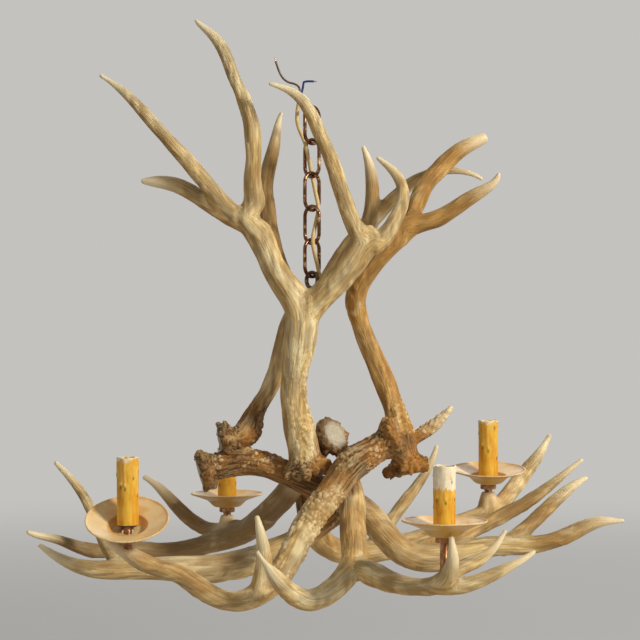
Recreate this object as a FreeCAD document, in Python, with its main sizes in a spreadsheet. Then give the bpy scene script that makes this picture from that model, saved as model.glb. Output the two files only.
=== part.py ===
"""Antler chandelier: nine forked antlers, a chain of oval links and four candle lights.

Millimetres, +Z up. The origin is the hang point: the inside top of the top link.
-Y is the front.
"""
import FreeCAD
import Part
import Sketcher
import math
import os

from FreeCAD import Placement, Rotation, Vector

# ---------------------------------------------------------------- driving dimensions

SIZES = {
    # antlers
    "basket_width": 660,
    "antler_height": 644,
    "beam_diameter": 32,
    "burr_bead": 5,
    # chain and screw eye
    "link_length": 45,
    "link_width": 26,
    "link_wire": 4,
    "link_play": 0.4,
    "eye_ring": 17,
    "eye_wire": 4.5,
    "eye_shank": 42,
    # supply cord and its two conductors
    "cord_diameter": 4.4,
    "conductor_diameter": 2.4,
    # candle cover and the lamp socket in it
    "cover_diameter": 24,
    "cover_wall": 1.4,
    "cover_length": 71,
    "socket_diameter": 19.6,
    "socket_height": 57,
    "socket_well": 26,
    "shell_bore": 12,
    "shell_wall": 0.4,
    "shell_length": 22,
    "contact_diameter": 6,
    "contact_height": 1.5,
    # drip pan
    "pan_diameter": 87,
    "pan_depth": 16,
    "pan_lip": 8,
    "pan_floor": 27,
    "pan_well": 43,
    "pan_wall": 1,
    # threaded tube under each light, with its nut and washer
    "tube_diameter": 9.6,
    "tube_bore": 6.4,
    "tube_reach": 11,
    "nut_across": 16,
    "nut_height": 5,
    "washer_diameter": 18,
    "washer_height": 1.2,
    "lead_diameter": 2,
    # steel pins that join the antlers
    "pin_diameter": 5,
    # clearances
    "fit": 0.15,
    "light_fit": 0.3,
}

# The sizes at which the antler routes below are drawn, and the height of their crown
DRAWN_WIDTH = 660
DRAWN_HEIGHT = 644
DRAWN_BEAM = 32
DRAWN_CROWN = -198

# ---------------------------------------------------------------- antler routes
# Each antler is a beam and its tines. A point is (x, y, z, radius). A beam starts at
# its burr, and a tine starts inside the beam that it grows from.

ANTLERS = {
    "right_beam": {
        "beam": [
            (-124, -8, -400, 15.5), (-99, -4, -393, 15), (-70, 0, -389, 14.5),
            (-37, 2, -398, 14), (-2, 4, -414, 14.5), (31, 10, -430, 15), (58, 14, -446, 15.5),
            (81, 6, -471, 15.5), (102, -2, -489, 15), (132, -6, -495, 14.5),
            (165, -4, -489, 13), (198, 0, -482, 12), (240, 2, -481, 10), (281, 0, -470, 9),
            (321, -4, -454, 5.5), (343, -6, -453, 2.5),
        ],
        "upper_tine": [
            (205, 2, -486, 10.5), (235, 14, -466, 9), (263, 24, -442, 8), (288, 30, -421, 6),
            (308, 33, -409, 2.5),
        ],
        "inner_tine": [
            (108, 2, -495, 11), (140, 20, -481, 9.5), (172, 36, -472, 9), (216, 48, -453, 8),
            (258, 56, -429, 7), (284, 60, -409, 4.5), (307, 62, -391, 2.5),
        ],
    },
    "left_beam": {
        "beam": [
            (26, 2, -359, 15.5), (6, 20, -373, 15.5), (-14, 34, -405, 15), (-30, 52, -430, 14),
            (-48, 73, -451, 14), (-70, 96, -472, 14), (-93, 112, -485, 13),
            (-124, 112, -494, 11.5), (-157, 98, -500, 10.5), (-190, 78, -496, 9.5),
            (-231, 50, -493, 8.5), (-274, 24, -481, 6), (-295, 10, -473, 4.5),
            (-314, 0, -466, 2.5),
        ],
        "back_tine": [
            (-72, 100, -472, 11.5), (-88, 148, -479, 10), (-103, 188, -485, 9.5),
            (-129, 212, -487, 9), (-157, 220, -470, 8.5), (-186, 218, -439, 6),
            (-207, 216, -424, 3),
        ],
        "light_stub": [(-103, 187, -486, 13), (-103, 188, -475, 9.5), (-103, 188, -467, 7.5)],
    },
    "low_left_beam": {
        "beam": [
            (49, 44, -422, 14.5), (36, 42, -437, 13.5), (7, 36, -464, 13.5),
            (-27, 28, -484, 14), (-62, 14, -498, 15.5), (-106, -8, -505, 15.5),
            (-148, -22, -504, 13.5), (-186, -30, -503, 11.5), (-225, -36, -503, 10.5),
            (-256, -40, -497, 7.5), (-278, -42, -486, 5), (-294, -43, -475, 2.5),
        ],
        "back_tine": [
            (-199, -28, -502, 9), (-223, -14, -482, 7.5), (-238, -2, -453, 6.5),
            (-260, 6, -416, 5), (-285, 10, -390, 2.5),
        ],
    },
    "back_right_beam": {
        "beam": [
            (-7, 72, -402, 15), (-5, 74, -425, 15), (-3, 82, -455, 15), (9, 94, -486, 14),
            (39, 106, -502, 13.5), (83, 112, -500, 13), (130, 116, -487, 12),
            (172, 118, -471, 11.5), (205, 120, -458, 11), (231, 146, -440, 10),
            (254, 166, -414, 9), (273, 176, -391, 6), (285, 180, -370, 3),
        ],
        "inner_tine": [
            (62, 112, -500, 10), (86, 124, -476, 8), (105, 134, -451, 7.5),
            (124, 140, -427, 6.5), (139, 144, -403, 4.5), (147, 146, -381, 3),
        ],
        "light_stub": [(205, 121, -466, 15), (205, 120, -447, 11.5), (205, 120, -433, 7.5)],
    },
    "front_beam": {
        "beam": [
            (93, -28, -361, 17.5), (58, -37, -379, 16.5), (30, -52, -404, 16),
            (6, -64, -435, 15), (-16, -76, -469, 14), (-33, -88, -500, 13),
            (-52, -95, -518, 12.5), (-75, -99, -527, 11), (-96, -103, -524, 10.5),
            (-126, -110, -505, 10.5), (-157, -116, -491, 9.5), (-186, -120, -477, 8.5),
            (-202, -121, -468, 5), (-213, -122, -461, 2.5),
        ],
        "up_tine": [
            (-56, -97, -524, 10.5), (-52, -101, -502, 9.5), (-50, -103, -479, 8),
            (-53, -104, -456, 5.5), (-57, -104, -437, 2.5),
        ],
    },
    "front_right_beam": {
        "beam": [
            (36, -14, -388, 12), (40, -14, -412, 13.5), (44, -26, -439, 14.5),
            (45, -46, -469, 14.5), (45, -66, -490, 14), (28, -90, -511, 12.5),
            (0, -112, -524, 11.5), (-24, -128, -512, 10), (-42, -138, -490, 6),
            (-56, -143, -469, 2.5),
        ],
        "right_branch": [
            (43, -60, -485, 13.5), (57, -86, -497, 12), (79, -112, -504, 11.5),
            (105, -138, -507, 9.5), (128, -162, -500, 10), (139, -180, -485, 8.5),
            (141, -190, -466, 5.5), (139, -196, -447, 2.5),
        ],
        "inner_tine": [
            (130, -160, -500, 7.5), (148, -160, -486, 7), (171, -152, -477, 6.5),
            (188, -144, -464, 4), (199, -140, -448, 2.5),
        ],
        "outer_tine": [
            (120, -154, -503, 7.5), (138, -164, -504, 7.5), (160, -168, -499, 7.5),
            (190, -166, -487, 6), (211, -162, -477, 4), (227, -158, -467, 2.5),
        ],
    },
    "front_crown": {
        "beam": [
            (-4, -14, -404, 21), (-12, -16, -361, 17), (-20, -20, -320, 14),
            (-17, -26, -279, 15.5), (-11, -30, -244, 18), (-13, -32, -220, 17.5),
            (-29, -34, -195, 15), (-47, -38, -163, 13.5), (-64, -42, -132, 14),
            (-68, -45, -111, 12),
        ],
        "long_left": [
            (-68, -44, -119, 11), (-63, -48, -91, 10), (-62, -54, -53, 9), (-72, -58, 0, 8),
            (-83, -58, 26, 7), (-96, -54, 58, 6.5), (-112, -50, 77, 4.5), (-125, -47, 89, 2.5),
        ],
        "outer_left": [
            (-71, -43, -128, 9.5), (-90, -46, -113, 9.5), (-109, -50, -91, 9),
            (-132, -54, -65, 8.5), (-154, -57, -41, 7.5), (-180, -58, -11, 6.5),
            (-204, -57, 13, 4.5), (-227, -55, 29, 2.5),
        ],
        "low_left": [
            (-69, -41, -132, 9.5), (-93, -38, -120, 9), (-117, -36, -104, 8.5),
            (-140, -35, -90, 8.5), (-164, -35, -84, 7), (-185, -35, -83, 2.5),
        ],
        "right_beam": [
            (-11, -30, -235, 16.5), (1, -34, -218, 15), (20, -39, -198, 15),
            (39, -44, -177, 15.5), (56, -49, -153, 15), (71, -52, -141, 12),
        ],
        "long_right": [
            (58, -50, -158, 12), (47, -57, -135, 10), (36, -64, -108, 8.5), (24, -71, -72, 8),
            (7, -78, -32, 7.5), (-8, -82, -4, 6.5), (-27, -85, 10, 4), (-45, -87, 16, 2.5),
        ],
        "curl_right": [
            (60, -49, -154, 12), (79, -50, -143, 9.5), (91, -50, -123, 8), (98, -47, -104, 7),
            (95, -43, -84, 6), (84, -39, -69, 4.5), (70, -35, -57, 2.5),
        ],
    },
    "left_crown": {
        "beam": [
            (-102, 2, -368, 15), (-77, 6, -362, 14), (-64, 12, -337, 10.5),
            (-48, 16, -311, 9.5), (-37, 16, -280, 9.5), (-29, 13, -251, 10.5),
            (-20, 6, -233, 13), (-8, 1, -219, 14.5), (0, 2, -209, 12),
        ],
        "inner_left": [
            (-10, 3, -221, 13), (-23, 10, -204, 11), (-34, 18, -177, 9.5),
            (-45, 26, -146, 9.5), (-50, 32, -112, 9), (-52, 36, -85, 8.5), (-47, 38, -56, 8),
            (-41, 40, -29, 6), (-34, 40, 0, 2.5),
        ],
        "right_beam": [
            (-8, 3, -225, 12.5), (7, 15, -208, 11.5), (24, 32, -180, 11), (40, 46, -156, 11.5),
            (56, 54, -136, 10.5), (68, 58, -124, 8.5),
        ],
        "short_tine": [
            (59, 54, -134, 8.5), (66, 56, -112, 8.5), (68, 56, -86, 8), (65, 54, -61, 6),
            (57, 50, -37, 2.5),
        ],
        "long_tine": [
            (56, 54, -138, 9.5), (77, 60, -111, 8.5), (97, 64, -91, 8), (118, 67, -75, 7),
            (148, 68, -64, 5), (194, 66, -74, 2.5),
        ],
    },
    "right_crown": {
        "beam": [
            (107, 1, -403, 17), (101, 3, -372, 14), (95, 8, -346, 12.5), (84, 16, -311, 12),
            (69, 14, -275, 11), (55, 10, -242, 10.5), (48, -2, -213, 11), (54, -12, -189, 12),
            (68, -19, -168, 13), (87, -20, -147, 13.5), (105, -18, -133, 11.5),
        ],
        "brow_tine": [
            (103, 8, -370, 9), (117, 10, -362, 7.5), (135, 14, -350, 6.5),
            (147, 13, -338, 4.5), (155, 12, -329, 2.5),
        ],
        "outer_tine": [
            (89, -20, -147, 11.5), (118, -20, -128, 11), (146, -24, -118, 9),
            (170, -28, -102, 8), (190, -31, -90, 6), (203, -34, -74, 2.5),
        ],
        "thick_tine": [
            (92, -17, -146, 11.5), (110, -8, -120, 9.5), (121, 0, -92, 10), (144, 15, -63, 10),
            (164, 18, -45, 9), (182, 20, -35, 7.5), (194, 21, -30, 5.5),
        ],
    },
}

# Antlers whose foot shows its burr; the others end in a plain sawn face inside the hub
BURRS = ("front_crown", "left_crown", "right_crown", "front_beam", "left_beam", "right_beam")
BURR_STEPS = 4
STRAIGHT = 1e-4  # radians: a smaller turn than this is none
BURR_LENGTH = 3  # in beads
NUT = "Sizes.nut_across / 2 / cos(30 deg)"  # over its corners

# Where an antler is coped to its neighbours: most only touch when the beams are thicker
COPES = {
    "left_beam": ["right_beam"],
    "low_left_beam": ["right_beam"],
    "back_right_beam": ["left_beam"],
    "front_right_beam": ["right_beam", "front_beam"],
    "front_crown": ["right_beam", "left_beam", "front_right_beam"],
    "left_crown": ["right_beam", "front_crown"],
    "right_crown": ["front_beam"],
}

# Steel pins through two antlers: drawn start and end of each
PINS = [
    {"through": ("front_crown", "right_beam"), "ends": ((-6, -10, -372), (0, 6, -424))},
    {"through": ("left_crown", "right_beam"), "ends": ((-84, 8, -352), (-80, -2, -400))},
    {"through": ("front_beam", "right_crown"), "ends": ((82, -32, -364), (99, 12, -372))},
    {"through": ("front_beam", "front_right_beam"), "ends": ((52, -50, -390), (36, -4, -386))},
    {"through": ("front_right_beam", "right_beam"), "ends": ((36, -26, -415), (39, 16, -430))},
    {"through": ("left_beam", "right_beam"), "ends": ((-5, 42, -405), (-1, -4, -415))},
    {"through": ("low_left_beam", "right_beam"), "ends": ((36, 50, -436), (44, 6, -436))},
    {"through": ("left_beam", "back_right_beam"), "ends": ((-24, 42, -424), (-6, 84, -422))},
    {"through": ("front_crown", "left_crown"), "ends": ((-14, -42, -224), (-8, 12, -222))},
    {"through": ("front_crown", "right_crown"), "ends": ((48, -54, -162), (68, -8, -167))},
]

# Lights: drawn foot of the threaded tube inside the antler (x, y, z), the pan rim's height
# above it, and the pan's lean towards the front in degrees
LIGHTS = {
    "front_left": {"antler": "front_beam", "foot": (-190, -120, -479), "rise": 43.5, "lean": 27},
    "front_right": {"antler": "front_right_beam", "foot": (134, -172, -497), "rise": 63, "lean": 0},
    "back_left": {"antler": "left_beam", "foot": (-103, 188, -490), "rise": 49, "lean": 0},
    "back_right": {"antler": "back_right_beam", "foot": (205, 120, -463), "rise": 57, "lean": 7},
}

# The supply cord, from its stripped end beside the top link down to the crown
CORD_TOP = [(-13, 6, 14), (-16, 8, 1), (-17, 7, -13), (-13, 3, -26)]
CORD_SIDE = 1.3  # link wires between the chain's axis and the cord where two links meet
CORD_THROUGH = 1.4  # link wires between the link's outer width and the cord inside it
CORD_GAP = 0.35
CORD_LAST_TURN = 1.08  # the lowest turn through a link is this much wider, clear of the eye
CORD_FOOT = [(9, 3, -195), (12, 10, -219)]
BROWN_CONDUCTOR = [(-13.8, 5, 14), (-12.6, 4.2, 21), (-17, 4, 27), (-28, 3, 29), (-36, 2, 38), (-40, 1, 52)]
BLUE_CONDUCTOR = [(-12.2, 7, 14), (-10.8, 6.6, 20), (-9.5, 1, 26), (-9, -8, 29), (2, -15, 27.5)]

LINKS = 5
CHAIN_TURN = 45  # degrees from the X axis to the first link's plane

# ---------------------------------------------------------------- document and sheet

doc = FreeCAD.newDocument("antler_chandelier")
sheet = doc.addObject("Spreadsheet::Sheet", "Sizes")
for row, (alias, value) in enumerate(SIZES.items(), start=1):
    sheet.set(f"A{row}", alias)
    sheet.set(f"B{row}", str(value))
    sheet.setAlias(f"B{row}", alias)
doc.recompute()

NODES = []  # every sub-part, in the order made


def size(alias):
    """The sheet's value of one driving dimension."""
    return float(sheet.get(alias))


def value(expression):
    """The number that an expression of the sheet comes to."""
    return float(sheet.evalExpression(expression))


def sub_part(obj, label):
    """Names a finished sub-part, which is then written to a file of that name."""
    obj.Label = label
    NODES.append(obj)
    return obj


# ---------------------------------------------------------------- places

LINK_PITCH = size("link_length") - 2 * size("link_wire") - size("link_play")
FIRST_LINK_Z = (size("link_wire") - (size("link_length") - size("link_wire"))) / 2
LAST_BOTTOM_Z = (
    FIRST_LINK_Z
    - (LINKS - 1) * LINK_PITCH
    - (size("link_length") - size("link_wire")) / 2
)
EYE_TOP_Z = LAST_BOTTOM_Z + (size("link_wire") + size("eye_wire")) / 2 + size("link_play")
EYE_Z = EYE_TOP_Z - size("eye_ring") / 2
CROWN_Z = EYE_Z - size("eye_ring") / 2


def placed(point):
    """A drawn point in the object's frame: the antlers spread and drop from the crown."""
    wide = size("basket_width") / DRAWN_WIDTH
    tall = size("antler_height") / DRAWN_HEIGHT
    x, y, z = point[:3]
    return Vector(x * wide, y * wide, CROWN_Z + (z - DRAWN_CROWN) * tall)


# ---------------------------------------------------------------- helpers


def primitive(kind, name, place=None, **sizes):
    """A Part primitive with each of its sizes bound to an expression of the sheet."""
    obj = doc.addObject(f"Part::{kind}", name)
    for key, expression in sizes.items():
        obj.setExpression(key, expression)
    if place is not None:
        obj.Placement = place
    return obj


def fused(name, shapes):
    """One solid from several, or the only one as it is."""
    if len(shapes) == 1:
        return shapes[0]
    obj = doc.addObject("Part::MultiFuse", name)
    obj.Shapes = shapes
    return obj


def cut(name, base, tool):
    """The base with the tool's shape taken away."""
    obj = doc.addObject("Part::Cut", name)
    obj.Base = base
    obj.Tool = tool
    return obj


def along(start, end):
    """The placement of a piece made along +Z, set from start towards end."""
    return Placement(start, Rotation(Vector(0, 0, 1), end - start))


def revolved(name, outline):
    """A PartDesign body: a closed outline of (radius, height) expressions turned about Z."""
    body = doc.addObject("PartDesign::Body", name)
    plane = next(f for f in body.Origin.OriginFeatures if f.Role == "XZ_Plane")
    sketch = body.newObject("Sketcher::SketchObject", f"{name}_outline")
    sketch.AttachmentSupport = (plane, [""])
    sketch.MapMode = "FlatFace"
    spots = [Vector(value(radius), value(height), 0) for radius, height in outline]
    count = len(spots)
    for i in range(count):
        sketch.addGeometry(Part.LineSegment(spots[i], spots[(i + 1) % count]), False)
    for i in range(count):
        sketch.addConstraint(Sketcher.Constraint("Coincident", i, 2, (i + 1) % count, 1))
    for i, pair in enumerate(outline):
        for kind, expression, distance in zip(("DistanceX", "DistanceY"), pair, spots[i]):
            index = sketch.addConstraint(Sketcher.Constraint(kind, -1, 1, i, 1, distance))
            sketch.setExpression(f"Constraints[{index}]", expression)
    turn = body.newObject("PartDesign::Revolution", f"{name}_turn")
    turn.Profile = sketch
    turn.ReferenceAxis = (sketch, ["V_Axis"])
    turn.Angle = 360
    body.Tip = turn
    return body


def rounded_wire(points, least, what):
    """Straight runs joined by tangent arcs, each arc as large as its two runs allow."""
    spots = [Vector(*p) for p in points]
    edges = []
    start = spots[0]
    radii = []
    for before, corner, after in zip(spots, spots[1:], spots[2:]):
        come = (corner - before).normalize()
        go = (after - corner).normalize()
        half = come.getAngle(go) / 2
        reach = 0.45 * min((corner - before).Length, (after - corner).Length)
        radius = reach / math.tan(half)
        radii.append(radius)
        first = corner - come * reach
        last = corner + go * reach
        middle = corner + (go - come).normalize() * (radius / math.cos(half) - radius)
        edges.append(Part.LineSegment(start, first).toShape())
        edges.append(Part.Arc(first, middle, last).toShape())
        start = last
    edges.append(Part.LineSegment(start, spots[-1]).toShape())
    print(f"{what}: bend radii {min(radii):.0f} to {max(radii):.0f} mm, least allowed {least:.0f}")
    return Part.Wire(edges)


def cord_tube(name, points, diameter, least):
    """A round cord along a hand-chosen route, with its volume compared with its length."""
    wire = rounded_wire(points, least, name)
    first = wire.Edges[0]
    profile = Part.Wire(
        Part.makeCircle(diameter / 2, first.valueAt(first.FirstParameter), first.tangentAt(0))
    )
    solid = wire.makePipeShell([profile], True, False)
    share = solid.Volume / (math.pi * diameter**2 / 4 * wire.Length)
    print(f"{name}: length {wire.Length:.0f} mm, volume is {share:.4f} of section times length")
    obj = doc.addObject("Part::Feature", name)
    obj.Shape = solid
    obj.Placement = Placement()
    return sub_part(obj, name)


# ---------------------------------------------------------------- chain and screw eye


def chain_link(number):
    """One oval link: two straight sides and two half rings of round wire."""
    name = f"link_{number}"
    ring = "(Sizes.link_width - Sizes.link_wire) / 2"
    side = "Sizes.link_length - Sizes.link_width"
    pieces = []
    for end, turn in (("top", 90), ("bottom", -90)):
        half = primitive(
            "Torus",
            f"{name}_{end}",
            Placement(Vector(), Rotation(Vector(1, 0, 0), turn)),
            Radius1=ring,
            Radius2="Sizes.link_wire / 2",
            Angle3="180",
        )
        half.setExpression(".Placement.Base.z", f"({side}) / 2 * {1 if turn > 0 else -1}")
        pieces.append(half)
    for end, sign in (("left", -1), ("right", 1)):
        straight = primitive(
            "Cylinder", f"{name}_{end}", Radius="Sizes.link_wire / 2", Height=side
        )
        straight.setExpression(".Placement.Base.x", f"{ring} * {sign}")
        straight.setExpression(".Placement.Base.z", f"-({side}) / 2")
        pieces.append(straight)
    link = fused(f"{name}_body", pieces)
    turn = CHAIN_TURN + (0 if number % 2 else 90)
    z = FIRST_LINK_Z - (number - 1) * LINK_PITCH
    link.Placement = Placement(Vector(0, 0, z), Rotation(Vector(0, 0, 1), turn))
    return sub_part(link, name)


def screw_eye():
    """The ring that the lowest link holds, and the shank that is screwed into the crown."""
    ring = primitive(
        "Torus",
        "eye_ring_body",
        Placement(Vector(), Rotation(Vector(1, 0, 0), 90)),
        Radius1="Sizes.eye_ring / 2",
        Radius2="Sizes.eye_wire / 2",
    )
    shank = primitive(
        "Cylinder",
        "eye_shank_body",
        Placement(Vector(), Rotation(Vector(1, 0, 0), 180)),
        Radius="Sizes.eye_wire / 2",
        Height="Sizes.eye_shank",
    )
    shank.setExpression(".Placement.Base.z", "-Sizes.eye_ring / 2")
    eye = fused("screw_eye_body", [ring, shank])
    turn = CHAIN_TURN + (90 if LINKS % 2 else 0)
    eye.Placement = Placement(Vector(0, 0, EYE_Z), Rotation(Vector(0, 0, 1), turn))
    return sub_part(eye, "screw_eye")


# ---------------------------------------------------------------- antlers


def tangents(spots):
    """The route's direction at each point."""
    result = []
    for i in range(len(spots)):
        before = spots[max(i - 1, 0)]
        after = spots[min(i + 1, len(spots) - 1)]
        result.append((after - before).normalize())
    return result


def burr_rings(foot, direction, radius):
    """The swelling round an antler's foot, as (spot, radius) along its first stretch."""
    bead = size("burr_bead")
    rings = []
    for step in range(BURR_STEPS + 1):
        share = step / BURR_STEPS
        spot = foot + direction * (share * BURR_LENGTH * bead)
        rings.append((spot, radius, math.sin(math.pi * share)))
    return rings


def branch(name, points, with_burr=False):
    """A round, tapering branch: circles square to its route, skinned in order."""
    stations = [(placed(p), p[3], 0) for p in points]
    if with_burr:
        foot, radius, _ = stations[0]
        direction = (stations[1][0] - foot).normalize()
        stations[:1] = burr_rings(foot, direction, radius)
    directions = tangents([spot for spot, _, _ in stations])
    turn = Rotation(Vector(0, 0, 1), directions[0])
    last = directions[0]
    sections = []
    for i, ((spot, radius, swell), direction) in enumerate(zip(stations, directions)):
        if last.getAngle(direction) > STRAIGHT:
            turn = Rotation(last, direction).multiply(turn)
        last = direction
        circle = doc.addObject("Part::Circle", f"{name}_{i}")
        circle.setExpression(
            "Radius",
            f"{radius} * Sizes.beam_diameter / {DRAWN_BEAM} + {swell:.3f} * Sizes.burr_bead",
        )
        circle.Placement = Placement(spot, turn)
        sections.append(circle)
    loft = doc.addObject("Part::Loft", name)
    loft.Sections = sections
    loft.Solid = True
    loft.Ruled = False
    return loft


def hole(name, start, end, radius):
    """A drilled hole from start to end."""
    drill = primitive("Cylinder", name, along(start, end), Radius=radius)
    drill.Height = (end - start).Length
    return drill


def antler(name):
    """One antler: its branches and burr fused, coped and drilled."""
    routes = ANTLERS[name]
    pieces = [
        branch(f"{name}_{part}", points, part == "beam" and name in BURRS)
        for part, points in routes.items()
    ]
    body = fused(f"{name}_whole", pieces)
    for other in COPES.get(name, []):
        body = cut(f"{name}_coped_to_{other}", body, antler_wholes[other])
    antler_wholes[name] = body
    drills = []
    for i, pin in enumerate(PINS):
        if name in pin["through"]:
            start, end = (placed(p) for p in pin["ends"])
            drills.append(
                hole(f"{name}_pin_hole_{i}", start, end, "Sizes.pin_diameter / 2 + Sizes.fit")
            )
    for light, facts in LIGHTS.items():
        if facts["antler"] == name:
            foot = placed(facts["foot"])
            top = foot + Vector(0, 0, facts["rise"])
            drills.append(
                hole(f"{name}_{light}_hole", foot, top, "Sizes.tube_diameter / 2 + Sizes.fit")
            )
            # a thicker beam is spot-faced for the nut
            under = size("washer_height") + size("nut_height") + size("fit")
            face = washer_top(facts) - Vector(0, 0, under)
            drills.append(hole(f"{name}_{light}_face", face, top, f"{NUT} + Sizes.fit"))
    if name == "left_crown":
        top = Vector(0, 0, EYE_Z)
        end = Vector(0, 0, CROWN_Z - size("eye_shank"))
        drills.append(hole("eye_hole", top, end, "Sizes.eye_wire / 2 + Sizes.fit"))
        *_, before, last = cord_points()
        start = Vector(*before) + (Vector(*before) - Vector(*last))
        drills.append(
            hole("cord_hole", start, Vector(*last), "Sizes.cord_diameter / 2 + 2 * Sizes.light_fit")
        )
    for i, drill in enumerate(drills):
        body = cut(f"{name}_drilled_{i}", body, drill)
    return body


def washer_top(facts):
    """The top of the washer under a light's pan, lower where the pan leans."""
    lean = math.radians(facts["lean"])
    drop = size("washer_diameter") / 2 * math.tan(lean) + size("pan_wall") / math.cos(lean)
    return placed(facts["foot"]) + Vector(0, 0, facts["rise"] - size("pan_depth") - drop)


# ---------------------------------------------------------------- supply cord


def cord_points():
    """The cord's route: beside the top link, then woven down the chain to the crown."""
    wire = size("link_wire")
    half = size("cord_diameter") / 2
    side = CORD_SIDE * wire + half + CORD_GAP
    through = (size("link_width") / 2 - CORD_THROUGH * wire - half) * math.sqrt(0.5)
    low = through * CORD_LAST_TURN
    weave = [(-side, 0), (-through, through), (0, side), (through, through), (side, 0)]
    outer = side + 2 * CORD_GAP
    weave += [(through, -through), (0, -outer), (low, -low), (outer, 0)]
    top = FIRST_LINK_Z - LINK_PITCH / 2
    woven = [(x, y, top - i * LINK_PITCH / 2) for i, (x, y) in enumerate(weave)]
    foot = [(x, y, z + CROWN_Z - DRAWN_CROWN) for x, y, z in CORD_FOOT]
    return CORD_TOP + woven + foot


# ---------------------------------------------------------------- candle lights

TUBE = "Sizes.tube_diameter / 2"
SHELL = "Sizes.shell_bore / 2 + Sizes.shell_wall"
WELL_FLOOR = "(Sizes.socket_height - Sizes.socket_well)"
SHELL_DROP = 2  # the threaded shell's top edge below the socket's mouth
TUBE_GAP = 1  # between the tube's end and the socket
LEAD_FOOT = 1  # where the leads start, above the tube's foot
LEAD_SPACING = 0.65  # from the tube's axis to each lead, in lead diameters

# The pan's rolled rim, in wall thicknesses: (in from the edge, down from the top)
RIM_SECTION = ((3, 1.5), (1, 0), (0, 1), (1, 2.5), (3, 2.7))
LIP_WALL = 1.2  # the wall under the lip of the pan's well, along Z, in wall thicknesses
FLOOR_CORNER = 0.6  # how much wider the floor's underside is, in wall thicknesses

groups = {"centre_contacts": [], "pan_nuts": [], "pan_washers": [], "socket_leads": []}


def pan_outline(hole_radius):
    """The spun pan from its rim (height 0) down to the flat floor of its well."""
    rim = "Sizes.pan_diameter / 2"
    floor = "Sizes.pan_floor / 2"
    well = "Sizes.pan_well / 2"
    wall = "Sizes.pan_wall"
    edge = [(f"{rim} - {inward} * {wall}", f"-{down} * {wall}") for inward, down in RIM_SECTION]
    return [
        (hole_radius, "-Sizes.pan_depth"),
        (floor, "-Sizes.pan_depth"),
        (well, "-Sizes.pan_lip"),
        *edge,
        (f"{well} + {wall}", f"-Sizes.pan_lip - {LIP_WALL} * {wall}"),
        (f"{floor} + {FLOOR_CORNER} * {wall}", f"-Sizes.pan_depth - {wall}"),
        (hole_radius, f"-Sizes.pan_depth - {wall}"),
    ]


def ring(name, outer, inner, bottom, top):
    """A plain revolved ring between two heights."""
    return revolved(name, [(inner, bottom), (outer, bottom), (outer, top), (inner, top)])


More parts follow.
